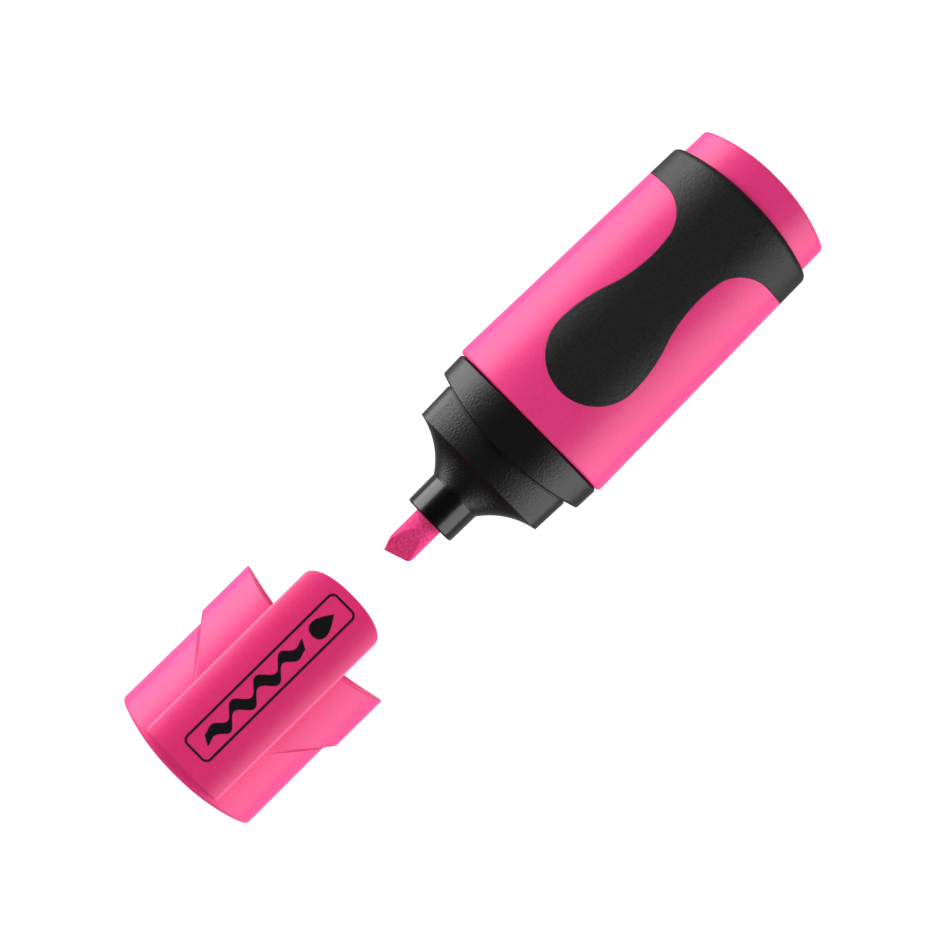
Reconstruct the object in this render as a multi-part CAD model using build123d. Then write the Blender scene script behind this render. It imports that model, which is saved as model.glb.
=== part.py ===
from build123d import *
from math import asin, atan2, cos, degrees, radians, sin, sqrt, tan
import os

# A short, wide pocket highlighter lying on its back with its cap pulled off.
# Millimetres.  +X runs along the pen towards its tail, +Z is up, on the clip side.
# Every part is drawn on the pen's own axis with the cap closed: x = 0 is the seam between
# the black front section and the barrel, and z = 0 is the pen's axis.  main() then moves
# the parts to the assembly's frame, whose origin is at the bottom centre of the whole.

# ---- the body's section: a flattened oval with a narrow flat strip front and back
HALF_DEPTH = 7.4             # from the axis to the front or back face
FLAT_HALF = 2.0              # half-width of the flat strip
BODY_SIDE_ANGLE = 45.0       # where a face arc meets a side arc, from the Y axis
SLEEVE_SIDE_ANGLE = 56.0     # the same on the inner ovals, which have no flat strip

# ---- barrel
BARREL_HALF_WIDTH = 12.78    # at the seam
BARREL_TAPER = 0.0213        # loss of half-width per millimetre towards the tail
BARREL_LENGTH = 38.4
BARREL_WALL = 1.9
BARREL_EDGE = 0.5            # rounding of the front edge
RIB_WIDTH = 1.0              # ribs inside that hold the ink reservoir
RIB_SPACING = 8.0
RIB_START = 8.0
RIB_END = 32.5
RIB_ROOT = 0.2               # how far the ribs run into the wall

# ---- grip: a soft bulb on each face, joined by a band round the tail end
GRIP_DEPTH = 1.04
GRIP_SEAM = 0.04             # visible joint between the grip and the barrel
GRIP_EDGE = 0.1              # rounding of the grip's outline
BULB_X = 12.1
BULB_RADIUS = 6.65
SHOULDER_RADIUS = 21.5       # convex arc from the bulb towards the waist
WAIST_X = 26.3
WAIST_HALF = 4.19
CORNER_X = 29.5              # where the waist arc turns into the corner under the band
BAND_X = 33.98               # front edge of the band
BAND_TAIL_APEX = 40.4
BAND_TAIL_RADIUS = 46.0      # the band's tail edge is an arc seen from the front
BAND_TAIL_EDGE = 1.0         # rounding of that edge

# ---- tail plug
TAIL_APEX = 44.83
TAIL_RADIUS = 32.2
TAIL_EDGE = 0.55
PLUG_SPIGOT_START = 33.0
PLUG_WALL = 1.2
PLUG_END_WALL = 1.6

# ---- front section: spigot, collar, sleeve, flare and nozzle in one black moulding
SEAM_GAP = 0.05
COLLAR_HALF_WIDTH = 12.44    # at the seam
COLLAR_HALF_DEPTH = 7.05
COLLAR_TAPER = 0.03          # loss of half-width per millimetre towards the nib
COLLAR_CHAMFER = 0.3
COLLAR_APEX = -5.54          # middle of the collar's front edge
COLLAR_RADIUS = 39.1         # the front edge is an arc seen from the front
COLLAR_EDGE = 0.35
GROOVE_WIDTH = 0.2           # fine groove where the sleeve leaves the collar
GROOVE_DEPTH = 0.12
SLEEVE_HALF_WIDTH = 10.88    # at the seam
SLEEVE_HALF_DEPTH = 5.75
SLEEVE_TIP_HALF_WIDTH = 10.56
SLEEVE_TIP_HALF_DEPTH = 5.4
SLEEVE_TIP = -9.35
FLARE_RADIUS = 10.4          # concave profile from the sleeve down to the nozzle
FLARE_STEPS = 8
NOZZLE_ROOT = -13.69
NOZZLE_TIP = -18.4
NOZZLE_ROOT_RADIUS = 3.9
NOZZLE_TIP_RADIUS = 3.84
NOZZLE_EDGE = 0.35
SPIGOT_LENGTH = 7.0
FRONT_CAVITY_HALF_WIDTH = 9.1
FRONT_CAVITY_HALF_DEPTH = 4.1
FRONT_CAVITY_END = -7.9
VENT_WIDTH = 0.7             # four air channels beside the nib
VENT_RADIUS = 2.65
FIT_GAP = 0.03               # parts pressed into one another

# ---- nib: a round felt rod cut to a slanted chisel
NIB_RADIUS = 2.13
NIB_TIP = -25.23
NIB_TIP_Y = 1.43             # the tip's leading corner
NIB_SLANT = 18.6             # degrees that the writing edge leans back
NIB_BEVEL_ANGLE = 20.0       # degrees, the short bevel above the leading corner
NIB_FACET_HEEL = -20.3       # where the front and back facets leave the rod
NIB_TIP_THICKNESS = 0.9
NIB_CORNER = 0.9             # rounding of the trailing corner
NIB_TAPER_START = 3.0
NIB_END = 7.0
NIB_END_RADIUS = 0.7

# ---- ink reservoir: a fibre core wrapped in a thin film
CORE_HALF_WIDTH = 8.3
CORE_HALF_DEPTH = 3.65
FILM_THICKNESS = 0.15
CORE_START = 1.5
CORE_END = 36.4

# ---- cap
CAP_TRAVEL = 35.66           # how far the cap stands off the closed position
CAP_APEX = -29.03            # middle of the closed end
CAP_END_RADIUS = 41.1
CAP_END_EDGE = 0.6
CAP_HALF_WIDTH = 11.5        # at the closed end
CAP_TAPER = 0.0067           # loss of half-width per millimetre towards the mouth
WING_HALF_WIDTH = 12.42      # the rim is wider than the body of the cap
WING_HALF_DEPTH = 7.27
WING_EDGE = 0.12             # rounding of the wings' slanted step
WING_CORNER = -11.9          # where the slanted step reaches the wide rim's side
WING_ANGLE = 41.8            # degrees between the slanted step and the axis
WING_INNER_Y = 5.6
RIM_GAP = 0.05               # between the closed cap's rim and the collar
RIM_EDGE = 0.15              # rounding of the rim's outer edge
SOCKET_CLEARANCE = 0.13
SOCKET_DEPTH = -9.65
CAP_CAVITY_HALF_WIDTH = 9.8
CAP_CAVITY_HALF_DEPTH = 5.2
CAP_CAVITY_END = -27.3
CAP_RIB_THICKNESS = 1.2
CAP_RIB_FRONT = -16.5

# ---- inner cap: the cup that seals round the nozzle
CUP_FRONT = -14.3
CUP_BORE = 4.05
CUP_RADIUS = 4.75
CUP_END_WALL = 1.2
CUP_FLANGE_RADIUS = 5.1
CUP_FLANGE_LENGTH = 1.0
CUP_LEAD_IN = 0.3

# ---- clip: a plate that follows the cap's face
CLIP_HALF_WIDTH = 6.48
CLIP_REAR = -27.58
CLIP_TIP = 3.66
CLIP_TIP_LENGTH = 2.66
CLIP_TIP_ELLIPSE = 2.85      # the free end is half an ellipse a little longer than this end
CLIP_TIP_RADIUS = 22.0       # that a flat arc cuts blunt
CLIP_REAR_CORNER = 0.7
CLIP_GAP = 0.6               # between the cap's face and the clip's underside
CLIP_THICKNESS = 1.3
ROOT_FRONT = -24.6           # the boss on the cap that carries the clip
ROOT_INSET = 0.3
BEAD_X = -7.6                # bead under the clip that grips paper or cloth
BEAD_RADIUS = 1.2
BEAD_HEIGHT = 0.42
BEAD_HALF_LENGTH = 3.7

BIG = 60.0                   # reach of cutting solids
OVERSHOOT = 1.0              # how far a cutter or a bar runs past the face it makes
ACROSS = 2.0                 # an edge that spans less than this along the axis runs across it
TOUCH = 0.001                # two places closer than this are the same
SEAM_X = (CAP_TRAVEL - CAP_APEX - TAIL_APEX) / 2


def oval(x, half_width, half_depth, flat=0.0, side_angle=SLEEVE_SIDE_ANGLE):
    """Oval face across the axis at x: two wide arcs and two tight side arcs, all tangent."""
    squash = tan(radians(90 - side_angle) / 2)
    arc_half_width = half_width - flat
    side_radius = (half_depth - arc_half_width * squash) / (1 - squash)
    face_radius = side_radius + (arc_half_width - side_radius) / cos(radians(side_angle))
    join_y = flat + face_radius * cos(radians(side_angle))
    join_z = half_depth - face_radius * (1 - sin(radians(side_angle)))
    middle_angle = radians(90 + side_angle) / 2
    middle_y = flat + face_radius * cos(middle_angle)
    middle_z = half_depth - face_radius * (1 - sin(middle_angle))
    right = ThreePointArc((join_y, join_z), (half_width, 0), (join_y, -join_z))
    left = ThreePointArc((-join_y, -join_z), (-half_width, 0), (-join_y, join_z))
    if flat:
        bottom = [ThreePointArc((join_y, -join_z), (middle_y, -middle_z), (flat, -half_depth)),
                  Line((flat, -half_depth), (-flat, -half_depth)),
                  ThreePointArc((-flat, -half_depth), (-middle_y, -middle_z), (-join_y, -join_z))]
        top = [ThreePointArc((-join_y, join_z), (-middle_y, middle_z), (-flat, half_depth)),
               Line((-flat, half_depth), (flat, half_depth)),
               ThreePointArc((flat, half_depth), (middle_y, middle_z), (join_y, join_z))]
    else:
        bottom = [ThreePointArc((join_y, -join_z), (0, -half_depth), (-join_y, -join_z))]
        top = [ThreePointArc((-join_y, join_z), (0, half_depth), (join_y, join_z))]
    outline = Wire([right, *bottom, left, *top])
    across = Plane(origin=(x, 0, 0), x_dir=(0, 1, 0), z_dir=(1, 0, 0))
    return across * Face(outline)


def oval_bar(x_from, x_to, half_width, half_depth, flat=0.0, side_angle=SLEEVE_SIDE_ANGLE):
    """Straight bar of oval section."""
    face = oval(x_from, half_width, half_depth, flat, side_angle)
    return extrude(face, amount=x_to - x_from, dir=(1, 0, 0))


def body_bar(x_from, x_to, inset=0.0):
    """The barrel's tapered outer form, or a form that lies inset inside it."""
    ends = [oval(x, BARREL_HALF_WIDTH - BARREL_TAPER * x - inset, HALF_DEPTH - inset,
                 FLAT_HALF, BODY_SIDE_ANGLE) for x in (x_from, x_to)]
    return loft(ends, ruled=True)


def sleeve_bar(x_from, x_to, growth=0.0):
    """The tapered sleeve that the cap slides on, or the socket that fits round it."""
    slope_width = (SLEEVE_HALF_WIDTH - SLEEVE_TIP_HALF_WIDTH) / SLEEVE_TIP
    slope_depth = (SLEEVE_HALF_DEPTH - SLEEVE_TIP_HALF_DEPTH) / SLEEVE_TIP
    ends = [oval(x, SLEEVE_HALF_WIDTH - slope_width * x + growth,
                 SLEEVE_HALF_DEPTH - slope_depth * x + growth) for x in (x_from, x_to)]
    return loft(ends, ruled=True)


def upright(radius, x_centre):
    """Upright cylinder that cuts an arc into the outline seen from the front."""
    return Pos(x_centre, 0, 0) * Cylinder(radius, 2 * BIG)


def rod(x_from, x_to, radius):
    """Round rod along the axis."""
    return Pos((x_from + x_to) / 2, 0, 0) * Rot(Y=90) * Cylinder(radius, x_to - x_from)


def slab(x_from, x_to, half_y, half_z, y=0.0, z=0.0):
    """Rectangular block between two stations of the axis."""
    return Pos((x_from + x_to) / 2, y, z) * Box(x_to - x_from, 2 * half_y, 2 * half_z)


def turned(points):
    """Solid of revolution about the axis from (x, radius) points."""
    profile = Polyline(*[(x, radius) for x, radius in points], close=True)
    return revolve(Plane.XZ * make_face(profile), axis=Axis.X)


def edges_at(part, x):
    """The edges that lie wholly in the plane at x."""
    return part.edges().filter_by_position(Axis.X, x - TOUCH, x + TOUCH)


def edges_across(part, x_from, x_to):
    """The edges that run across the axis with their middle between two stations."""
    return part.edges().filter_by(lambda edge: x_from < (edge @ 0.5).X < x_to
                                  and abs((edge @ 1).X - (edge @ 0).X) < ACROSS)


def circle_point(x, y, radius, angle):
    """Point at an angle in degrees on a circle in plan."""
    return (x + radius * cos(radians(angle)), y + radius * sin(radians(angle)))


def plan_arc(x, y, radius, start, end):
    """Start, middle and end points of an arc in plan."""
    return [circle_point(x, y, radius, angle) for angle in (start, (start + end) / 2, end)]


def grip_prism(growth=0.0):
    """Upright prism with the outline of the grip: bulb, waist, then all behind the band line."""
    shoulder_y = BULB_RADIUS - SHOULDER_RADIUS
    run = WAIST_X - BULB_X
    drop = WAIST_HALF - shoulder_y
    waist_radius = (run ** 2 + drop ** 2 - SHOULDER_RADIUS ** 2) / (2 * (SHOULDER_RADIUS - drop))
    waist_y = WAIST_HALF + waist_radius
    shoulder_angle = degrees(atan2(waist_y - shoulder_y, run))
    lean = degrees(asin((CORNER_X - WAIST_X) / waist_radius))
    corner_radius = (BAND_X - CORNER_X) / (1 - sin(radians(lean)))
    corner_x = BAND_X - corner_radius
    corner_y = waist_y - (waist_radius - corner_radius) * cos(radians(lean))
    arcs = [plan_arc(BULB_X, 0, BULB_RADIUS + growth, 180, 90),
            plan_arc(BULB_X, shoulder_y, SHOULDER_RADIUS + growth, 90, shoulder_angle),
            plan_arc(WAIST_X, waist_y, waist_radius - growth, 180 + shoulder_angle, 270 + lean),
            plan_arc(corner_x, corner_y, corner_radius - growth, 270 + lean, 360)]
    upper = [ThreePointArc(*points) for points in arcs]
    lower = [ThreePointArc(*[(x, -y) for x, y in points]) for points in arcs]
    band_x = BAND_X - growth
    behind = Polyline((band_x, corner_y), (band_x, BIG), (BIG, BIG), (BIG, -BIG), (band_x, -BIG),
                      (band_x, -corner_y))
    return extrude(Face(Wire([*upper, *behind.edges(), *lower])), amount=BIG, both=True)


def barrel():
    shell = body_bar(0, BARREL_LENGTH)
    shell = fillet(edges_at(shell, 0), BARREL_EDGE)
    past_end = BARREL_LENGTH + OVERSHOOT
    shell -= body_bar(-OVERSHOOT, past_end, BARREL_WALL)
    around = body_bar(-OVERSHOOT, past_end, -OVERSHOOT)
    skin = around - body_bar(-2 * OVERSHOOT, past_end + OVERSHOOT, GRIP_DEPTH)
    shell -= skin & grip_prism(GRIP_SEAM)
    room = body_bar(-OVERSHOOT, past_end, BARREL_WALL - RIB_ROOT)
    foot_z = CORE_HALF_DEPTH + FILM_THICKNESS
    half_height = (HALF_DEPTH - BARREL_WALL + RIB_ROOT - foot_z) / 2
    for y in (-RIB_SPACING / 2, RIB_SPACING / 2):
        for z in (-foot_z - half_height, foot_z + half_height):
            shell += slab(RIB_START, RIB_END, RIB_WIDTH / 2, half_height, y, z) & room
    return shell


def on_outer_skin(edge):
    """True for an edge of the grip that lies on the barrel's outer form, not on its seat."""
    middle = edge @ 0.5
    side = BARREL_HALF_WIDTH - BARREL_TAPER * middle.X
    return abs(middle.Z) > HALF_DEPTH - GRIP_DEPTH / 2 or abs(middle.Y) > side - GRIP_DEPTH / 2


def grip_overmould():
    skin = body_bar(0, BIG) - body_bar(-OVERSHOOT, BIG + OVERSHOOT, GRIP_DEPTH)
    grip = skin & grip_prism() & upright(BAND_TAIL_RADIUS, BAND_TAIL_APEX - BAND_TAIL_RADIUS)
    tail_edges = edges_across(grip, BARREL_LENGTH, BIG).filter_by(on_outer_skin)
    grip = fillet(tail_edges, BAND_TAIL_EDGE)
    outline = grip.edges().filter_by(lambda edge: on_outer_skin(edge) and (edge @ 0.5).X < BARREL_LENGTH
                                     and edge.geom_type != GeomType.LINE)
    return fillet(outline, GRIP_EDGE)


def tail_plug():
    end = upright(TAIL_RADIUS, TAIL_APEX - TAIL_RADIUS)
    body = body_bar(BARREL_LENGTH, TAIL_APEX + OVERSHOOT, GRIP_DEPTH) & end
    body = fillet(edges_across(body, BAND_TAIL_APEX, BIG), TAIL_EDGE)
    plug = body + body_bar(PLUG_SPIGOT_START, BARREL_LENGTH, BARREL_WALL + FIT_GAP)
    hollow_inset = BARREL_WALL + FIT_GAP + PLUG_WALL
    hollow_end = TAIL_APEX - TAIL_RADIUS - PLUG_END_WALL
    hollow = body_bar(PLUG_SPIGOT_START - OVERSHOOT, TAIL_APEX, hollow_inset)
    hollow &= upright(TAIL_RADIUS, hollow_end)
    plug -= hollow
    plug += slab(CORE_END, TAIL_APEX, PLUG_WALL / 2, HALF_DEPTH) & hollow
    plug += slab(CORE_END, TAIL_APEX, BARREL_HALF_WIDTH, PLUG_WALL / 2) & hollow
    return plug


def flare():
    """Concave neck that turns from the sleeve's oval into the nozzle's circle."""
    run = SLEEVE_TIP - NOZZLE_ROOT
    fall = SLEEVE_TIP_HALF_WIDTH - NOZZLE_ROOT_RADIUS
    chord = sqrt(run ** 2 + fall ** 2)
    bow = sqrt(FLARE_RADIUS ** 2 - (chord / 2) ** 2)
    middle_x = (SLEEVE_TIP + NOZZLE_ROOT) / 2
    middle_y = (SLEEVE_TIP_HALF_WIDTH + NOZZLE_ROOT_RADIUS) / 2
    centre_x = middle_x - bow * fall / chord
    centre_y = middle_y + bow * run / chord
    start = atan2(SLEEVE_TIP_HALF_WIDTH - centre_y, SLEEVE_TIP - centre_x)
    end = atan2(NOZZLE_ROOT_RADIUS - centre_y, NOZZLE_ROOT - centre_x)
    sections = []
    for step in range(FLARE_STEPS + 1):
        angle = start + (end - start) * step / FLARE_STEPS
        half_width = centre_y + FLARE_RADIUS * sin(angle)
        share = (half_width - NOZZLE_ROOT_RADIUS) / fall
        half_depth = NOZZLE_ROOT_RADIUS + share * (SLEEVE_TIP_HALF_DEPTH - NOZZLE_ROOT_RADIUS)
        sections.append(oval(centre_x + FLARE_RADIUS * cos(angle), half_width, half_depth))
    return loft(sections)


def front_section():
    collar = loft([oval(x, COLLAR_HALF_WIDTH + COLLAR_TAPER * x, COLLAR_HALF_DEPTH, FLAT_HALF,
                        BODY_SIDE_ANGLE) for x in (COLLAR_APEX - OVERSHOOT, -SEAM_GAP)], ruled=True)
    collar = chamfer(edges_at(collar, -SEAM_GAP), COLLAR_CHAMFER)
    collar_centre = COLLAR_APEX + COLLAR_RADIUS
    collar &= upright(COLLAR_RADIUS, collar_centre)
    collar = fillet(edges_across(collar, -BIG, COLLAR_APEX / 2), COLLAR_EDGE)
    groove = sleeve_bar(-SEAM_GAP, SLEEVE_TIP, OVERSHOOT) - sleeve_bar(0, SLEEVE_TIP, -GROOVE_DEPTH)
    groove &= upright(COLLAR_RADIUS + GROOVE_WIDTH, collar_centre)
    groove -= upright(COLLAR_RADIUS, collar_centre)
    section = collar + (sleeve_bar(-SEAM_GAP, SLEEVE_TIP) - groove)
    section += body_bar(-SEAM_GAP, SPIGOT_LENGTH, BARREL_WALL + FIT_GAP)
    section += flare()
    nozzle = Solid.make_cone(NOZZLE_TIP_RADIUS, NOZZLE_ROOT_RADIUS, NOZZLE_ROOT - NOZZLE_TIP,
                             Plane(origin=(NOZZLE_TIP, 0, 0), z_dir=(1, 0, 0)))
    section += fillet(edges_at(nozzle, NOZZLE_TIP), NOZZLE_EDGE)
    section -= oval_bar(FRONT_CAVITY_END, SPIGOT_LENGTH + OVERSHOOT, FRONT_CAVITY_HALF_WIDTH,
                        FRONT_CAVITY_HALF_DEPTH)
    bore_start = NOZZLE_TIP - OVERSHOOT
    bore_end = FRONT_CAVITY_END + OVERSHOOT
    section -= rod(bore_start, bore_end, NIB_RADIUS + FIT_GAP)
    for angle in (-45, 45):
        section -= Rot(X=angle) * slab(bore_start, bore_end, VENT_RADIUS, VENT_WIDTH / 2)
    return section


def nib_blank(growth=0.0):
    """The felt rod before its chisel is cut, with the blunt point that enters the core."""
    radius = NIB_RADIUS + growth
    front = NIB_TIP - OVERSHOOT
    return turned([(front, 0), (front, radius), (NIB_TAPER_START, radius),
                   (NIB_END, NIB_END_RADIUS + growth), (NIB_END, 0)])


def nib():
    edge_back = NIB_TIP + (NIB_TIP_Y + NIB_RADIUS) * tan(radians(NIB_SLANT))
    bevel_back = NIB_TIP + (NIB_RADIUS - NIB_TIP_Y) / tan(radians(NIB_BEVEL_ANGLE))
    plan = Polyline((NIB_TIP, NIB_TIP_Y), (edge_back, -NIB_RADIUS), (NIB_END, -NIB_RADIUS),
                    (NIB_END, NIB_RADIUS), (bevel_back, NIB_RADIUS), close=True)
    outline = make_face(plan)
    trailing = outline.vertices().filter_by(
        lambda vertex: abs(vertex.X - edge_back) < TOUCH and vertex.Y < 0)
    rod_part = nib_blank() & extrude(fillet(trailing, NIB_CORNER), amount=NIB_RADIUS, both=True)
    wedge = Polyline((NIB_TIP, NIB_TIP_THICKNESS / 2), (NIB_FACET_HEEL, NIB_RADIUS),
                     (NIB_END, NIB_RADIUS), (NIB_END, -NIB_RADIUS), (NIB_FACET_HEEL, -NIB_RADIUS),
                     (NIB_TIP, -NIB_TIP_THICKNESS / 2), close=True)
    return rod_part & extrude(Plane.XZ * make_face(wedge), amount=NIB_RADIUS, both=True)


def ink_reservoir():
    core = oval_bar(CORE_START, CORE_END, CORE_HALF_WIDTH, CORE_HALF_DEPTH)
    return core - nib_blank(FIT_GAP)


def reservoir_film():
    wrap = oval_bar(CORE_START, CORE_END, CORE_HALF_WIDTH + FILM_THICKNESS,
                    CORE_HALF_DEPTH + FILM_THICKNESS)
    return wrap - oval_bar(CORE_START - OVERSHOOT, CORE_END + OVERSHOOT, CORE_HALF_WIDTH, CORE_HALF_DEPTH)


def wing_prism():
    """Upright prism behind the two slanted steps where the cap's rim widens."""
    slope = tan(radians(WING_ANGLE))
    inner_x = WING_CORNER - (WING_HALF_WIDTH - WING_INNER_Y) / slope
    outer_x = WING_CORNER + OVERSHOOT / slope
    outer_y = WING_HALF_WIDTH + OVERSHOOT
    prism = Polyline((inner_x, WING_INNER_Y), (outer_x, outer_y), (0, outer_y), (0, -outer_y),
                     (outer_x, -outer_y), (inner_x, -WING_INNER_Y), close=True)
    return extrude(make_face(prism), amount=BIG, both=True)


def on_slanted_step(edge):
    """True for an outer edge of the wings that lies in a slanted step."""
    slant = radians(WING_ANGLE)
    return abs((edge @ 0.5).Y) > WING_INNER_Y + TOUCH and all(
        abs((point.X - WING_CORNER) * sin(slant) - (abs(point.Y) - WING_HALF_WIDTH) * cos(slant)) < TOUCH
        for point in (edge @ 0, edge @ 0.5, edge @ 1))


def on_rim(edge):
    """True for an edge of the cap that lies on its mouth's upright arc."""
    return all(abs(sqrt((point.X - COLLAR_APEX - COLLAR_RADIUS) ** 2 + point.Y ** 2)
                   - COLLAR_RADIUS - RIM_GAP) < TOUCH for point in (edge @ 0, edge @ 0.5, edge @ 1))


def clip_form(x_from, x_to, growth):
    """Bar that is larger than the cap's body by the same distance all round."""
    return oval_bar(x_from, x_to, CAP_HALF_WIDTH + growth, HALF_DEPTH + growth, FLAT_HALF, BODY_SIDE_ANGLE)


def cap_shell():
    body = loft([oval(x, CAP_HALF_WIDTH - CAP_TAPER * (x - CAP_APEX), HALF_DEPTH, FLAT_HALF,
                      BODY_SIDE_ANGLE) for x in (CAP_APEX - OVERSHOOT, 0)], ruled=True)
    body &= upright(CAP_END_RADIUS, CAP_APEX + CAP_END_RADIUS)
    body = fillet(edges_across(body, -BIG, ROOT_FRONT), CAP_END_EDGE)
    wings = oval_bar(CAP_APEX, 0, WING_HALF_WIDTH, WING_HALF_DEPTH, FLAT_HALF, BODY_SIDE_ANGLE)
    wings &= wing_prism()
    wings = fillet(wings.edges().filter_by(on_slanted_step), WING_EDGE)
    shell = body + wings
    shell -= upright(COLLAR_RADIUS + RIM_GAP, COLLAR_APEX + COLLAR_RADIUS)
    rim_edges = edges_across(shell, COLLAR_APEX - RIM_GAP - TOUCH, 0).filter_by(on_rim)
    shell = fillet(rim_edges, RIM_EDGE)
    root = clip_form(CLIP_REAR + ROOT_INSET, ROOT_FRONT, CLIP_GAP)
    shell += root & slab(CLIP_REAR, 0, CLIP_HALF_WIDTH - ROOT_INSET, HALF_DEPTH / 2, 0, HALF_DEPTH)
    shell -= sleeve_bar(OVERSHOOT, SOCKET_DEPTH, SOCKET_CLEARANCE)
    cavity = oval_bar(CAP_CAVITY_END, 0, CAP_CAVITY_HALF_WIDTH, CAP_CAVITY_HALF_DEPTH)
    shell -= cavity
    rib = slab(CAP_CAVITY_END, CAP_RIB_FRONT, CAP_HALF_WIDTH, CAP_RIB_THICKNESS / 2)
    rib += slab(CAP_CAVITY_END, CAP_RIB_FRONT, CAP_RIB_THICKNESS / 2, HALF_DEPTH)
    shell += (rib & cavity) - rod(CAP_CAVITY_END - OVERSHOOT, 0, CUP_RADIUS + FIT_GAP)
    return shell


def inner_cap():
    cup = rod(CAP_CAVITY_END, CUP_FRONT, CUP_RADIUS)
    cup += rod(CUP_FRONT - CUP_FLANGE_LENGTH, CUP_FRONT, CUP_FLANGE_RADIUS)
    cup -= rod(CAP_CAVITY_END + CUP_END_WALL, CUP_FRONT + OVERSHOOT, CUP_BORE)
    mouth = edges_at(cup, CUP_FRONT).sort_by(SortBy.LENGTH)[0]
    return chamfer(mouth, CUP_LEAD_IN)


def clip():
    thick = CLIP_GAP + CLIP_THICKNESS
    plate = clip_form(CLIP_REAR, CLIP_TIP, thick)
    plate -= clip_form(CLIP_REAR - OVERSHOOT, CLIP_TIP + OVERSHOOT, CLIP_GAP)
    tip_start = CLIP_TIP - CLIP_TIP_LENGTH
    strip = Pos((CLIP_REAR + tip_start) / 2, 0) * Rectangle(tip_start - CLIP_REAR, 2 * CLIP_HALF_WIDTH)
    rear = strip.vertices().sort_by(Axis.X)[:2]
    plan = fillet(rear, CLIP_REAR_CORNER) + Pos(tip_start, 0) * Ellipse(CLIP_TIP_ELLIPSE, CLIP_HALF_WIDTH)
    plate &= extrude(plan, amount=BIG)
    plate &= upright(CLIP_TIP_RADIUS, CLIP_TIP - CLIP_TIP_RADIUS) + slab(CLIP_REAR, 0, BIG, BIG)
    under = HALF_DEPTH + CLIP_GAP
    bead_centre = under - BEAD_HEIGHT + BEAD_RADIUS
    bead = Pos(BEAD_X, 0, bead_centre) * Rot(X=90) * Cylinder(BEAD_RADIUS, 2 * BEAD_HALF_LENGTH)
    return plate + (bead & clip_form(BEAD_X - BEAD_RADIUS, BEAD_X + BEAD_RADIUS, thick))


def place(part, pulled_off=0.0):
    """Move a part from the pen's own axis to the assembly's frame."""
    return Pos(SEAM_X - pulled_off, 0, HALF_DEPTH) * part


def main():
    os.makedirs("parts", exist_ok=True)
    pen_parts = [barrel, grip_overmould, tail_plug, front_section, nib, ink_reservoir, reservoir_film]
    cap_parts = [cap_shell, inner_cap, clip]
    for make in pen_parts:
        export_step(place(make()), f"parts/{make.__name__}.step")
    for make in cap_parts:
        export_step(place(make(), CAP_TRAVEL), f"parts/{make.__name__}.step")


main()
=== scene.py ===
from math import cos, pi, radians, sin, sqrt, tan

import bmesh
import bpy
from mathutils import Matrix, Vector, noise

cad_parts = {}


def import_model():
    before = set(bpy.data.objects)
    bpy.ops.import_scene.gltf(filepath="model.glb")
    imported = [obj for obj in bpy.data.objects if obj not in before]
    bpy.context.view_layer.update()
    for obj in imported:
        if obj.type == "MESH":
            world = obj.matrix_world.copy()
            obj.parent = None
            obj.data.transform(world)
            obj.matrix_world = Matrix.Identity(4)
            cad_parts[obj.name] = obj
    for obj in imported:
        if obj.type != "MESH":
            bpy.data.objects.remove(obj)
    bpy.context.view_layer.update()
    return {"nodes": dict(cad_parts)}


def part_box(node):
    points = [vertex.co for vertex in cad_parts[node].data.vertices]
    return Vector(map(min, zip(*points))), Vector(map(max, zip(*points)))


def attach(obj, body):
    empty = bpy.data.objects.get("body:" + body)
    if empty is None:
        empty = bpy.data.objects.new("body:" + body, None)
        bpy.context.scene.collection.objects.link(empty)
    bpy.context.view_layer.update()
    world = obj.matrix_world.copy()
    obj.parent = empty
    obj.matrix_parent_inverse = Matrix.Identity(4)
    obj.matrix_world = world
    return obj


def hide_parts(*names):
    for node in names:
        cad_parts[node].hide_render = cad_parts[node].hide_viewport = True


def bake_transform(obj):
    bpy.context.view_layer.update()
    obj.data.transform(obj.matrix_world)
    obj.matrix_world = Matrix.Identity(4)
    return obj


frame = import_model()
nodes = frame["nodes"]

# A pocket highlighter lying on its back with its cap pulled off.  Metres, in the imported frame:
# +X towards the tail, +Z up on the clip side.  MM turns the sizes of small details into metres.
MM = 0.001
PEN_AXIS_Z = (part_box("barrel")[0].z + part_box("barrel")[1].z) / 2
WELD = 0.001 * MM                # vertices nearer than this become one

# ---- camera, light and stage
VIEW_WIDTH = 123.9 * MM          # what the picture spans at the height of the pen's axis
CAMERA_HEIGHT = 0.6              # above the pen's axis
CAMERA_REACH = (0.01, 20)        # nearest and farthest distance that it sees
PEN_TURN = 44.6                  # degrees that the pen rises to the right in the picture
PICTURE_CENTRE = (0.0, 0.03 * MM)   # X and Y under the camera
SENSOR = 36.0                    # millimetres
SOFTBOX_DISTANCE = 0.6           # from the pen's axis
SOFTBOX_LENGTH = 0.9
ROOM_LOWER = (-0.05, -0.35)      # Z of the directions between which the room brightens downwards
FLOOR_GLOW = 1.1                 # radiance of the floor's own light
FLOOR_GAP = 0.02 * MM            # between the floor and the pen's back
STUDIO_HALF = 2.2                # from the middle to each wall, and the walls' height

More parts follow.
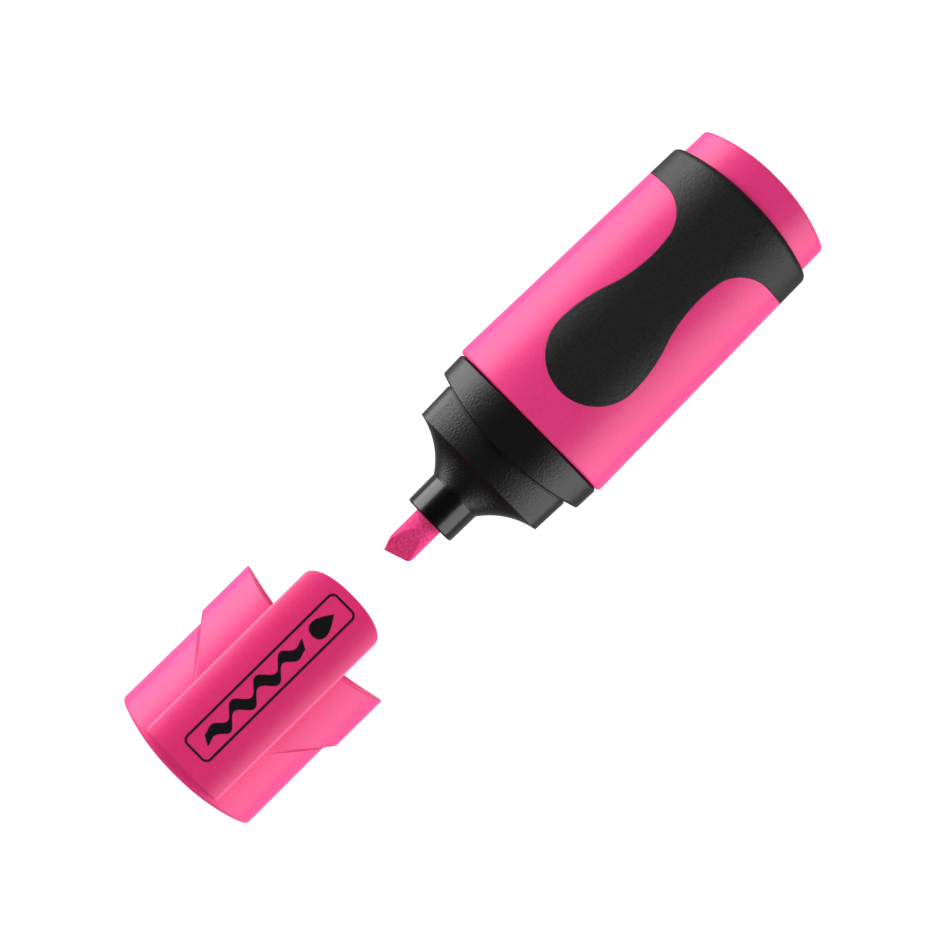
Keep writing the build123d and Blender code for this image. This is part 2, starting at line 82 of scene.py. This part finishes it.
# ---- materials
BODY_COLOURS = ((0.94, 0.048, 0.25), (0.98, 0.055, 0.265))   # the darkest and the lightest
# the clip's pink is the body's pink painted a little darker: painted shade on its face
CLIP_SHADED_COLOURS = ((0.92, 0.036, 0.206), (0.95, 0.04, 0.216))
NIB_COLOURS = ((0.69, 0.016, 0.155), (0.99, 0.058, 0.275))
CORE_COLOURS = ((0.75, 0.05, 0.2), (0.9, 0.15, 0.35))
PLASTIC_GLOSS = 0.38             # specular level
PLASTIC_ROUGHNESS = 0.38
PLASTIC_SPREAD = 0.04            # how much its grain adds to or takes from the roughness
PLASTIC_MOTTLE = (0.94, 1.06)    # factors of the colour in its grain
RUBBER_ROUGHNESS = (0.42, 0.56)
NOISE_ROUGHNESS = 0.55           # strength of a noise texture's finer detail
NOISE_RANGE = (0.3, 0.7)         # of a noise texture's values, which seldom go further
TINT_RANGE = (0.35, 0.65)        # noise values that get the dark and the light colour
NOZZLE_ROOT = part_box("front_section")[0].x + 4.71 * MM
NOZZLE_FADE = (NOZZLE_ROOT - 0.1 * MM, NOZZLE_ROOT + 0.6 * MM)   # from polish to grain
POLISHED = 0.24                  # roughness of the nozzle
SATIN = 0.38                     # roughness of the rest of the front section
FACET_LEAN = (-0.08, -0.3)       # X of the normals between which a cut through the fibres shows

# ---- clip: an arched plate that follows the cap's face, crisp at its root and soft at its free end
CLIP_LOW, CLIP_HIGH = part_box("clip")
CLIP_THICKNESS = 1.3 * MM
CLIP_LEVEL_HALF = 2.0 * MM       # half-width of the level middle
CLIP_ARCH_RADIUS = 12.885 * MM   # of the upper face on both sides of it
CLIP_TIP_LENGTH = 2.65 * MM
CLIP_TIP_BLUNTNESS = 2.25        # exponent of the free end's outline: 2 is an ellipse
CLIP_CORNER = 0.7 * MM
CLIP_LEAST_CORNER = 0.05 * MM    # what an inset leaves of it
CLIP_EDGE = 0.25 * MM            # rounding of the upper edge
CLIP_UNDER_EDGE = 0.1 * MM
CLIP_SIDE_ROLL = 0.4 * MM        # how much further the upper face falls at its long sides
CLIP_SIDE_POWER = 4              # how late and steeply it falls there
CLIP_TIP_DROP = 0.5 * MM         # how much lower the upper face is at the free end
CLIP_TIP_ROLL = 3.0 * MM         # length over which it drops
CLIP_PAINTED_HIGHLIGHT = (0.45, 0.145, 0.2)   # painted highlight: light given out along the clip's long sides, in place of the highlight on its rounded edges
CLIP_PAINTED_HIGHLIGHT_WIDTH = 0.3 * MM
CLIP_ROOT_SHADE = 0.62           # share of the colour that is left at the edge of the root, where a line of shade is painted
CLIP_SHARES = (0, 0.1, 0.2, 0.3, 0.4, 0.5, 0.6, 0.7, 0.8, 0.88, 0.94, 0.98)  # rings of both faces
EDGE_STEPS, UNDER_EDGE_STEPS = 6, 3
REAR_POINTS, CORNER_POINTS, SIDE_POINTS, TIP_POINTS = 10, 6, 44, 20   # of half the outline
BEAD_X = CLIP_LOW.x + 19.98 * MM
BEAD_RADIUS = 1.2 * MM
BEAD_HEIGHT = 0.42 * MM          # how far it stands out under the clip
BEAD_HALF = 3.7 * MM
# place across the clip and radius there, as shares of BEAD_HALF and BEAD_RADIUS
BEAD_PROFILE = ((-1, 0), (-1, 0.6), (-0.96, 0.9), (-0.88, 1), (0.88, 1), (0.96, 0.9), (1, 0.6), (1, 0))
ROUND_POINTS = 48                # of a full turn

# ---- print on the clip: a frame, a drop and the wave that a chisel nib draws
PRINT_RISE = 0.012 * MM          # of the ink over the clip's face, which lies that much below CLIP_HIGH
PRINT_DEPTH = 0.03 * MM
PRINT_START = CLIP_LOW.x + 2.6 * MM
PRINT_END = CLIP_LOW.x + 29.9 * MM
PRINT_HALF = 2.28 * MM
PRINT_LINE = 0.31 * MM
PRINT_CORNER = 0.95 * MM
LONG_STEPS, END_STEPS, CORNER_STEPS = 40, 8, 8   # of the frame's long sides, ends and corners
DROP_START = PRINT_END - 6.0 * MM
DROP_END = PRINT_END - 2.0 * MM
DROP_HALF = 1.32 * MM
DROP_TAPER = 1.3                 # exponent that draws the drop's end to a point
DROP_FULLNESS = 1.38             # makes up for the width that the taper takes away
DROP_SHARES = (1, 0.6, 0.3, 0)   # rings from its outline to its middle
WAVE_START = PRINT_START + 2.2 * MM
WAVE_END = PRINT_START + 19.8 * MM
WAVE_HEIGHT = 0.8 * MM
WAVE_PERIODS = 4
WAVE_SWELL = 6                   # the wave is at full height after one sixth of its length
WAVE_STEPS = 140
WAVE_NIB = (0.36 * MM, 0.66 * MM)   # half of the nib's slanted writing edge
WAVE_SHARES = (-1, -0.5, 0, 0.5, 1)  # lines across the wave, as shares of WAVE_NIB

# ---- crease at the foot of the cap's slanted steps, where the rim widens: painted shade along it, and a bump
STEP_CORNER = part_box("cap_shell")[0].x + 17.13 * MM
STEP_ANGLE = radians(41.8)       # between the step and the axis
CREASE_HALF = 0.2 * MM
CREASE_SHADE = 0.6               # share of the colour that the painted shade leaves in it
CREASE_DEPTH = 0.5 * MM
CREASE_FADE = (6.3 * MM, 10.5 * MM)  # distance from the axis over which the crease appears

# ---- nib
NIB_VOXEL = 0.07                 # millimetres
NIB_SHOWN = 8.5 * MM             # length that gets a fibrous surface
NIB_SMOOTHING = 3                # passes that take the voxels' steps away
NIB_FUZZ = 0.035 * MM
COARSE_FIBRES = (3, 6, 6)        # lumps per millimetre in X, Y and Z
FINE_FIBRES = (6, 11, 11)
COARSE_SHARE = 0.4               # of the coarse lumps beside the fine ones
FUZZ_SINK = 0.4                  # keeps the lumps' tops near the CAD nib's surface


# ---- shader nodes
def add(tree, kind, inputs=None, **settings):
    """New shader node; inputs maps socket names to values or to other nodes' outputs."""
    node = tree.nodes.new("ShaderNode" + kind)
    for name, value in settings.items():
        setattr(node, name, value)
    for name, value in (inputs or {}).items():
        if isinstance(value, bpy.types.NodeSocket):
            tree.links.new(value, node.inputs[name])
        else:
            node.inputs[name].default_value = value
    return node


def calculate(tree, operation, *values):
    """Result of a Math node."""
    return add(tree, "Math", dict(enumerate(values)), operation=operation).outputs["Value"]


def ranged(tree, value, source=(0.0, 1.0), target=(0.0, 1.0)):
    """Value mapped from one range to another and kept within it."""
    limits = {"From Min": source[0], "From Max": source[1], "To Min": target[0], "To Max": target[1]}
    return add(tree, "MapRange", {"Value": value, **limits}).outputs["Result"]


def axes(tree, vector):
    """X, Y and Z of a vector."""
    return add(tree, "SeparateXYZ", {"Vector": vector}).outputs


def place_in(tree):
    """Object coordinates, which are the frame's metres."""
    return tree.nodes.new("ShaderNodeTexCoord").outputs["Object"]


def grain(tree, place, size, detail=2.0, stretch=(1, 1, 1)):
    """Noise whose lumps are about size metres across."""
    mapping = add(tree, "Mapping", {"Vector": place, "Scale": stretch}).outputs["Vector"]
    settings = {"Scale": 1 / size, "Detail": detail, "Roughness": NOISE_ROUGHNESS}
    return add(tree, "TexNoise", {"Vector": mapping, **settings}).outputs["Fac"]


def tint(tree, value, dark, light):
    """Noise mapped between two colours."""
    ramp = add(tree, "ValToRGB", {"Fac": value})
    for stop, position, colour in zip(ramp.color_ramp.elements, TINT_RANGE, (dark, light)):
        stop.position = position
        stop.color = (*colour, 1)
    return ramp.outputs["Color"]


def scaled(tree, colour, factor):
    """Colour times a factor."""
    return add(tree, "VectorMath", {0: colour, "Scale": factor}, operation="SCALE").outputs["Vector"]


def bumped(tree, height, depth):
    """Normal of a bump that is depth metres deep."""
    return add(tree, "Bump", {"Height": height, "Distance": depth, "Strength": 1.0}).outputs["Normal"]


# ---- camera and light
def camera():
    data = bpy.data.cameras.new("camera")
    data.sensor_width = SENSOR
    data.lens = SENSOR * CAMERA_HEIGHT / VIEW_WIDTH
    data.clip_start, data.clip_end = CAMERA_REACH
    eye = bpy.data.objects.new("camera", data)
    eye.location = (*PICTURE_CENTRE, PEN_AXIS_Z + CAMERA_HEIGHT)
    eye.rotation_euler = (0, 0, radians(-PEN_TURN))
    bpy.context.scene.collection.objects.link(eye)
    bpy.context.scene.camera = eye


def softbox(name, low, high, side, radiance):
    """Long strip light beside the pen that spans low to high degrees from straight up."""
    middle = radians((low + high) / 2)
    height = 2 * SOFTBOX_DISTANCE * tan(radians(high - low) / 2)
    data = bpy.data.lights.new(name, "AREA")
    data.shape = "RECTANGLE"
    data.size = SOFTBOX_LENGTH
    data.size_y = height
    data.energy = radiance * pi * SOFTBOX_LENGTH * height
    light = bpy.data.objects.new(name, data)
    aside = side * SOFTBOX_DISTANCE * sin(middle)
    light.location = (0, aside, PEN_AXIS_Z + SOFTBOX_DISTANCE * cos(middle))
    light.rotation_euler = (side * -middle, 0, 0)
    light.visible_camera = False
    bpy.context.scene.collection.objects.link(light)


def world(above, below, ends):
    """Dim room, brighter below the horizon at the pen's two sides."""
    surroundings = bpy.data.worlds.new("studio")
    surroundings.use_nodes = True
    tree = surroundings.node_tree
    direction = axes(tree, tree.nodes.new("ShaderNodeTexCoord").outputs["Generated"])
    level = ranged(tree, direction["Z"], ROOM_LOWER, (above, below))
    lengthways = calculate(tree, "MULTIPLY", direction["X"], direction["X"])
    sky = tree.nodes["Background"]
    sky.inputs["Color"].default_value = (1, 1, 1, 1)
    tree.links.new(ranged(tree, lengthways, target=(level, ends)), sky.inputs["Strength"])
    bpy.context.scene.world = surroundings


# ---- materials
def plain_material(name, roughness, **sockets):
    """Principled material, its tree, its shader, and a socket of object coordinates."""
    material = bpy.data.materials.new(name)
    material.use_nodes = True
    tree = material.node_tree
    shader = tree.nodes["Principled BSDF"]
    shader.inputs["Roughness"].default_value = roughness
    for socket, value in sockets.items():
        shader.inputs[socket.replace("_", " ")].default_value = value
    return material, tree, shader, place_in(tree)


def clouded(name, roughness, size, dark, light, stretch=(1, 1, 1), depth=None, **sockets):
    """Plain material that drifts between two colours in clouds about size metres across."""
    material, tree, shader, place = plain_material(name, roughness, **sockets)
    cloud = grain(tree, place, size, stretch=stretch)
    tree.links.new(tint(tree, cloud, dark, light), shader.inputs["Base Color"])
    if depth:
        tree.links.new(bumped(tree, cloud, depth), shader.inputs["Normal"])
    return material


def grey(level):
    return level, level, level


def pink_plastic(name, dark, light):
    """Faint streaks along the pen and a fine grain."""
    material, tree, shader, place = plain_material(name, PLASTIC_ROUGHNESS, Specular_IOR_Level=PLASTIC_GLOSS)
    flow = grain(tree, place, size=9 * MM, detail=3, stretch=(0.35, 1, 1))
    fine = grain(tree, place, size=0.3 * MM, detail=3)
    mottled = scaled(tree, tint(tree, flow, dark, light), ranged(tree, fine, NOISE_RANGE, PLASTIC_MOTTLE))
    spread = (PLASTIC_ROUGHNESS - PLASTIC_SPREAD, PLASTIC_ROUGHNESS + PLASTIC_SPREAD)
    tree.links.new(mottled, shader.inputs["Base Color"])
    tree.links.new(ranged(tree, fine, NOISE_RANGE, spread), shader.inputs["Roughness"])
    tree.links.new(bumped(tree, fine, depth=0.018 * MM), shader.inputs["Normal"])
    return material


def paint_clip_highlight_and_shade(material):
    """Paint a highlight into a clip material along the clip's long sides, as light that it gives out, and
    paint shade at the edge of its root.
    """
    tree = material.node_tree
    shader = tree.nodes["Principled BSDF"]
    colour = shader.inputs["Base Color"]
    place = axes(tree, place_in(tree))
    aside = calculate(tree, "ABSOLUTE", place["Y"])
    # painted highlight: how strongly the clip gives out light near its long sides
    side = ranged(tree, aside, (CLIP_HIGH.y - CLIP_PAINTED_HIGHLIGHT_WIDTH, CLIP_HIGH.y))
    # painted shade: the colour darkened towards the edge of the root
    root = ranged(tree, place["X"], (CLIP_LOW.x, CLIP_LOW.x + CLIP_EDGE), (CLIP_ROOT_SHADE, 1.0))
    shader.inputs["Emission Color"].default_value = (*CLIP_PAINTED_HIGHLIGHT, 1)
    tree.links.new(side, shader.inputs["Emission Strength"])
    tree.links.new(scaled(tree, colour.links[0].from_socket, root), colour)
    return material


def shade_crease(material):
    """Paint shade into a cap material in a line at the foot of its slanted steps, and hollow it there with a
    bump.
    """
    tree = material.node_tree
    colour = tree.nodes["Principled BSDF"].inputs["Base Color"]
    place = axes(tree, place_in(tree))
    aside = calculate(tree, "ABSOLUTE", place["Y"])
    cap_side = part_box("cap_shell")[1].y
    # across is the distance from the crease's line, which starts at the step's corner on the cap's side
    offset = STEP_CORNER * sin(STEP_ANGLE) - cap_side * cos(STEP_ANGLE) - CREASE_HALF / 2
    across = calculate(tree, "MULTIPLY_ADD", aside, -cos(STEP_ANGLE), -offset)
    across = calculate(tree, "MULTIPLY_ADD", place["X"], sin(STEP_ANGLE), across)
    near = ranged(tree, calculate(tree, "ABSOLUTE", across), (CREASE_HALF, 0.0))
    shown = ranged(tree, aside, CREASE_FADE, (0.0, 1 - CREASE_SHADE))
    painted_shade = calculate(tree, "MULTIPLY", near, shown)
    rest = calculate(tree, "SUBTRACT", 1.0, painted_shade)
    # painted shade: the colour darkened along the crease
    tree.links.new(scaled(tree, colour.links[0].from_socket, rest), colour)
    tree.links.new(bumped(tree, rest, CREASE_DEPTH), tree.nodes["Bump"].inputs["Normal"])
    return material


def soft_rubber():
    """Matt black with a leathery grain."""
    material, tree, shader, place = plain_material("soft_rubber", roughness=0.5, Specular_IOR_Level=0.42)
    fine = grain(tree, place, size=0.26 * MM)
    tree.links.new(tint(tree, fine, grey(0.0), grey(0.014)), shader.inputs["Base Color"])
    tree.links.new(ranged(tree, fine, NOISE_RANGE, RUBBER_ROUGHNESS), shader.inputs["Roughness"])
    tree.links.new(bumped(tree, fine, depth=0.08 * MM), shader.inputs["Normal"])
    return material


def black_plastic():
    """Fine-grained collar, sleeve and flare, and a polished nozzle in front of them."""
    material, tree, shader, place = plain_material("black_plastic", SATIN)
    grained = ranged(tree, axes(tree, place)["X"], NOZZLE_FADE)
    fine = grain(tree, place, size=0.25 * MM)
    height = calculate(tree, "MULTIPLY", fine, grained)
    tree.links.new(tint(tree, fine, grey(0.0), grey(0.003)), shader.inputs["Base Color"])
    tree.links.new(ranged(tree, grained, target=(POLISHED, SATIN)), shader.inputs["Roughness"])
    tree.links.new(bumped(tree, height, depth=0.055 * MM), shader.inputs["Normal"])
    return material


def felt(name, dark, light, facet=1.0):
    """Fibres; a facet cut across them towards the tip is darker by a factor."""
    material, tree, shader, place = plain_material(name, roughness=0.85)
    fibres = grain(tree, place, size=0.22 * MM, detail=3, stretch=(0.5, 1, 1))
    lean = axes(tree, tree.nodes.new("ShaderNodeNewGeometry").outputs["Normal"])["X"]
    cut = ranged(tree, lean, FACET_LEAN, (1.0, facet))
    tree.links.new(scaled(tree, tint(tree, fibres, dark, light), cut), shader.inputs["Base Color"])
    tree.links.new(bumped(tree, fibres, depth=0.09 * MM), shader.inputs["Normal"])
    return material


# ---- stage
def stage_piece(name, material, points, faces):
    mesh = bpy.data.meshes.new(name)
    mesh.from_pydata(points, [], faces)
    mesh.materials.append(material)
    piece = bpy.data.objects.new(name, mesh)
    bpy.context.scene.collection.objects.link(piece)
    piece.visible_glossy = False
    return piece


def studio():
    """White floor, and walls of the same white far behind that only close the view at low angles.

    The white glows faintly, as a light table does, so that shadows stay weak.
    """
    white = clouded("pale_floor", roughness=0.7, size=0.25, dark=grey(0.1), light=grey(0.12),
                    Emission_Strength=FLOOR_GLOW, Emission_Color=(1, 1, 1, 1))
    corners = [(-STUDIO_HALF, -STUDIO_HALF), (STUDIO_HALF, -STUDIO_HALF),
               (STUDIO_HALF, STUDIO_HALF), (-STUDIO_HALF, STUDIO_HALF)]
    low = [(x, y, -FLOOR_GAP) for x, y in corners]
    high = [(x, y, STUDIO_HALF) for x, y in corners]
    sides = [(side, (side + 1) % 4, (side + 1) % 4 + 4, side + 4) for side in range(4)]
    stage_piece("floor", white, low, [(0, 1, 2, 3)])
    walls = stage_piece("walls", white, low + high, sides)
    walls.visible_diffuse = False
    walls.visible_transmission = False
    walls.visible_shadow = False


# ---- meshes
def new_piece(name, builder, material, smooth=True):
    """Object from a bmesh."""
    bmesh.ops.remove_doubles(builder, verts=builder.verts, dist=WELD)
    bmesh.ops.recalc_face_normals(builder, faces=builder.faces)
    mesh = bpy.data.meshes.new(name)
    builder.to_mesh(mesh)
    builder.free()
    if smooth:
        mesh.shade_smooth()
    mesh.materials.append(material)
    piece = bpy.data.objects.new(name, mesh)
    bpy.context.scene.collection.objects.link(piece)
    return piece


def loft(builder, rings, closed=True):
    """Add quads between rings, or between open lines, that all have the same number of points."""
    rows = [[builder.verts.new(point) for point in ring] for ring in rings]
    for lower, upper in zip(rows, rows[1:]):
        for index in range(len(lower) - (0 if closed else 1)):
            after = (index + 1) % len(lower)
            builder.faces.new((lower[index], lower[after], upper[after], upper[index]))


def steps(start, end, count):
    """Evenly spaced values from start to end, without the end."""
    return [start + (end - start) * index / count for index in range(count)]


# ---- clip
def clip_outline(inset):
    """The clip's outline from above, inset by a distance, as (x, y) points from the root's middle."""
    half = CLIP_HIGH.y - inset
    rear = CLIP_LOW.x + inset
    corner = max(CLIP_CORNER - inset, CLIP_LEAST_CORNER)
    straight_start = CLIP_LOW.x + CLIP_CORNER
    straight_end = CLIP_HIGH.x - CLIP_TIP_LENGTH
    tip_length = CLIP_TIP_LENGTH - inset
    power = 2 / CLIP_TIP_BLUNTNESS
    side = [(rear, y) for y in steps(0, half - corner, REAR_POINTS)]
    side += [(rear + corner * (1 - sin(angle)), half - corner * (1 - cos(angle)))
             for angle in steps(pi / 2, 0, CORNER_POINTS)]
    side += [(x, half) for x in steps(straight_start, straight_end, SIDE_POINTS)]
    side += [(straight_end + tip_length * sin(angle) ** power, half * cos(angle) ** power)
             for angle in steps(0, pi / 2, TIP_POINTS)]
    mirrored = [(x, -y) for x, y in reversed(side[1:])]
    return side + [(straight_end + tip_length, 0)] + mirrored


def arch_fall(y, radius):
    """How far an arched face of the clip has fallen at y."""
    beyond = max(0, abs(y) - CLIP_LEVEL_HALF)
    return radius - sqrt(radius ** 2 - beyond ** 2)


def clip_height(x, y):
    """Height of the clip's upper face."""
    along = max(0, x - CLIP_HIGH.x + CLIP_TIP_ROLL) / CLIP_TIP_ROLL
    side_roll = CLIP_SIDE_ROLL * (abs(y) / CLIP_HIGH.y) ** CLIP_SIDE_POWER
    fall = arch_fall(y, CLIP_ARCH_RADIUS) + side_roll + CLIP_TIP_DROP * along ** 2
    return CLIP_HIGH.z - PRINT_RISE - fall


def clip_underside(y):
    """Height of the clip's underside."""
    return CLIP_HIGH.z - CLIP_THICKNESS - arch_fall(y, CLIP_ARCH_RADIUS - CLIP_THICKNESS)


def towards_spine(outline, share):
    """Outline drawn in towards the clip's middle line, which it reaches at a share of 0."""
    start = CLIP_LOW.x + CLIP_HIGH.y
    end = CLIP_HIGH.x - CLIP_TIP_LENGTH
    middles = [min(max(x, start), end) for x, _ in outline]
    return [(middle + (x - middle) * share, y * share) for middle, (x, y) in zip(middles, outline)]


def clip_plate(material):
    """Underside, lower edge, upper edge and upper face, lofted in that order."""
    builder = bmesh.new()
    under = [towards_spine(clip_outline(CLIP_UNDER_EDGE), share) for share in CLIP_SHARES]
    rings = [[(x, y, clip_underside(y)) for x, y in ring] for ring in under]
    for angle in steps(0, pi / 2, UNDER_EDGE_STEPS) + [pi / 2]:
        ring = clip_outline(CLIP_UNDER_EDGE * (1 - sin(angle)))
        rings.append([(x, y, clip_underside(y) + CLIP_UNDER_EDGE * (1 - cos(angle))) for x, y in ring])
    for angle in steps(0, pi / 2, EDGE_STEPS) + [pi / 2]:
        ring = clip_outline(CLIP_EDGE * (1 - cos(angle)))
        rings.append([(x, y, clip_height(x, y) - CLIP_EDGE * (1 - sin(angle))) for x, y in ring])
    top = [towards_spine(clip_outline(CLIP_EDGE), share) for share in reversed(CLIP_SHARES)]
    rings += [[(x, y, clip_height(x, y)) for x, y in ring] for ring in top]
    loft(builder, rings)
    plate = new_piece("clip_plate", builder, material)
    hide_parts("clip")
    return plate


def clip_bead(material):
    """Rounded bar under the clip, sunk into it, that grips paper or cloth."""
    builder = bmesh.new()
    centre_z = CLIP_HIGH.z - CLIP_THICKNESS - BEAD_HEIGHT + BEAD_RADIUS
    rings = []
    for across, size in BEAD_PROFILE:
        radius = BEAD_RADIUS * size
        rings.append([(BEAD_X + radius * cos(angle), across * BEAD_HALF,
                       centre_z + radius * min(sin(angle), 0)) for angle in steps(0, 2 * pi, ROUND_POINTS)])
    loft(builder, rings)
    bead = new_piece("clip_bead", builder, material)
    return bead


# ---- print
def frame_outline(inset):
    """Rounded rectangle of the print's frame, inset by a distance, with evenly spread points."""
    radius = PRINT_CORNER - inset
    half_length = (PRINT_END - PRINT_START) / 2 - PRINT_CORNER
    half_height = PRINT_HALF - PRINT_CORNER
    middle = (PRINT_START + PRINT_END) / 2
    points = []
    for quarter, (side_x, side_y) in enumerate(((1, 1), (-1, 1), (-1, -1), (1, -1))):
        start = quarter * pi / 2
        end = (quarter + 1) * pi / 2
        for angle in steps(start, end, CORNER_STEPS) + [end]:
            points.append((middle + side_x * half_length + radius * cos(angle),
                           side_y * half_height + radius * sin(angle)))
        long_side = quarter % 2 == 0
        run = LONG_STEPS if long_side else END_STEPS
        for step in range(1, run):
            turn = 1 - 2 * step / run
            if long_side:
                points.append((middle + side_x * turn * half_length, side_y * (half_height + radius)))
            else:
                points.append((middle + side_x * (half_length + radius), side_y * turn * half_height))
    return points


def printed(builder, lines, closed):
    """Add a strip of ink between lines of (x, y) points, on the clip's face."""
    loft(builder, [[(x, y, clip_height(x, y) + PRINT_RISE) for x, y in line] for line in lines], closed)


def clip_print(material):
    """Thin solid ink that follows the clip's face."""
    builder = bmesh.new()
    printed(builder, [frame_outline(PRINT_LINE), frame_outline(0)], closed=True)
    middle = (DROP_START + DROP_END) / 2
    reach = (DROP_END - DROP_START) / 2
    drop = [(reach * cos(angle), DROP_HALF * DROP_FULLNESS * sin(angle) * sin(angle / 2) ** DROP_TAPER)
            for angle in steps(0, 2 * pi, ROUND_POINTS)]
    rings = [[(middle + x * share, y * share) for x, y in drop] for share in DROP_SHARES]
    printed(builder, rings, closed=True)
    wave = []
    for share in steps(0, 1, WAVE_STEPS) + [1]:
        swell = min(1, share * WAVE_SWELL, (1 - share) * WAVE_SWELL)
        wave.append((WAVE_START + share * (WAVE_END - WAVE_START),
                     WAVE_HEIGHT * swell * sin(2 * pi * WAVE_PERIODS * share)))
    nib_x, nib_y = WAVE_NIB
    strokes = [[(x + nib_x * side, y + nib_y * side) for x, y in wave] for side in WAVE_SHARES]
    printed(builder, strokes, closed=False)
    bmesh.ops.remove_doubles(builder, verts=builder.verts, dist=WELD)
    bmesh.ops.recalc_face_normals(builder, faces=builder.faces)
    for face in builder.faces:
        if face.normal.z < 0:
            face.normal_flip()
    bmesh.ops.solidify(builder, geom=builder.faces[:], thickness=PRINT_DEPTH)
    ink = new_piece("clip_print", builder, material, smooth=False)
    return ink


# ---- nib
def nib_part(**cleared):
    """The CAD nib on one side of a cut across it behind the shown length, closed at the cut."""
    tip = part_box("nib")[0].x
    part = bmesh.new()
    part.from_mesh(nodes["nib"].data)
    bmesh.ops.remove_doubles(part, verts=part.verts, dist=WELD)
    cut = bmesh.ops.bisect_plane(part, geom=part.verts[:] + part.edges[:] + part.faces[:],
                                 plane_co=(tip + NIB_SHOWN, 0, 0), plane_no=(1, 0, 0), **cleared)
    rim = [item for item in cut["geom_cut"] if isinstance(item, bmesh.types.BMEdge)]
    bmesh.ops.holes_fill(part, edges=rim)
    return part


def felt_nib(material):
    """The nib with a voxel skin on its front, roughened into fibres, and the hidden rod as it is."""
    builder = nib_part(clear_outer=True)
    bmesh.ops.scale(builder, vec=(1 / MM, 1 / MM, 1 / MM), verts=builder.verts)
    mesh = bpy.data.meshes.new("nib_front")
    builder.to_mesh(mesh)
    front = bpy.data.objects.new("nib_front", mesh)
    bpy.context.scene.collection.objects.link(front)
    remesh = front.modifiers.new("voxels", "REMESH")
    remesh.mode = "VOXEL"
    remesh.voxel_size = NIB_VOXEL
    skin = bpy.data.meshes.new_from_object(front.evaluated_get(bpy.context.evaluated_depsgraph_get()))
    builder.clear()
    builder.from_mesh(skin)
    bpy.data.objects.remove(front)
    bmesh.ops.scale(builder, vec=(MM, MM, MM), verts=builder.verts)
    for _ in range(NIB_SMOOTHING):
        bmesh.ops.smooth_vert(builder, verts=builder.verts, factor=0.5, use_axis_x=True,
                              use_axis_y=True, use_axis_z=True)
    builder.normal_update()
    for vertex in builder.verts:
        place = vertex.co / MM
        coarse = noise.noise(place * Vector(COARSE_FIBRES))
        fine = noise.noise(place * Vector(FINE_FIBRES))
        vertex.co += vertex.normal * NIB_FUZZ * (COARSE_SHARE * coarse + fine - FUZZ_SINK)
    rod = nib_part(clear_inner=True)
    rest = bpy.data.meshes.new("nib_rod")
    rod.to_mesh(rest)
    rod.free()
    builder.from_mesh(rest)
    piece = new_piece("felt_nib", builder, material)
    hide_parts("nib")
    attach(piece, "pen")


def on_clip(piece):
    """Bake the placement of a piece on the clip, whose root the cap holds, into its mesh."""
    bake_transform(piece)


def dress(name, material):
    """Give a CAD node its material."""
    mesh = nodes[name].data
    mesh.materials.clear()
    mesh.materials.append(material)


camera()
softbox("softbox_left", low=56, high=110, side=1, radiance=5.8)
softbox("softbox_right", low=44, high=95, side=-1, radiance=3.25)
world(above=0.04, below=0.45, ends=0.02)
studio()
body_pink = pink_plastic("body_pink", *BODY_COLOURS)
cap_pink = pink_plastic("cap_pink", *BODY_COLOURS)
# the clip's pink is painted darker, with a painted highlight along its sides and painted shade at its root
clip_pink_painted_light = pink_plastic("clip_pink_painted_light", *CLIP_SHADED_COLOURS)
dress("barrel", body_pink)
dress("tail_plug", body_pink)
dress("grip_overmould", soft_rubber())
dress("front_section", black_plastic())
dress("ink_reservoir", felt("core_fibre", *CORE_COLOURS))
dress("reservoir_film", clouded("clear_film", roughness=0.2, size=4 * MM, dark=(0.8, 0.6, 0.66),
                                light=(0.86, 0.7, 0.75), stretch=(0.3, 1, 1), depth=0.02 * MM, Alpha=0.45))
dress("cap_shell", shade_crease(cap_pink))
dress("inner_cap", clouded("natural_plastic", roughness=0.45, size=3 * MM, dark=(0.72, 0.7, 0.7),
                           light=(0.8, 0.78, 0.78), depth=0.01 * MM))
on_clip(clip_plate(paint_clip_highlight_and_shade(clip_pink_painted_light)))
on_clip(clip_bead(clip_pink_painted_light))
on_clip(clip_print(clouded("print_black", roughness=0.5, size=0.3 * MM, dark=grey(0.004),
                           light=grey(0.006), Specular_IOR_Level=0.2)))
felt_nib(felt("nib_felt", *NIB_COLOURS, facet=0.88))

bpy.context.scene.view_settings.view_transform = "Standard"
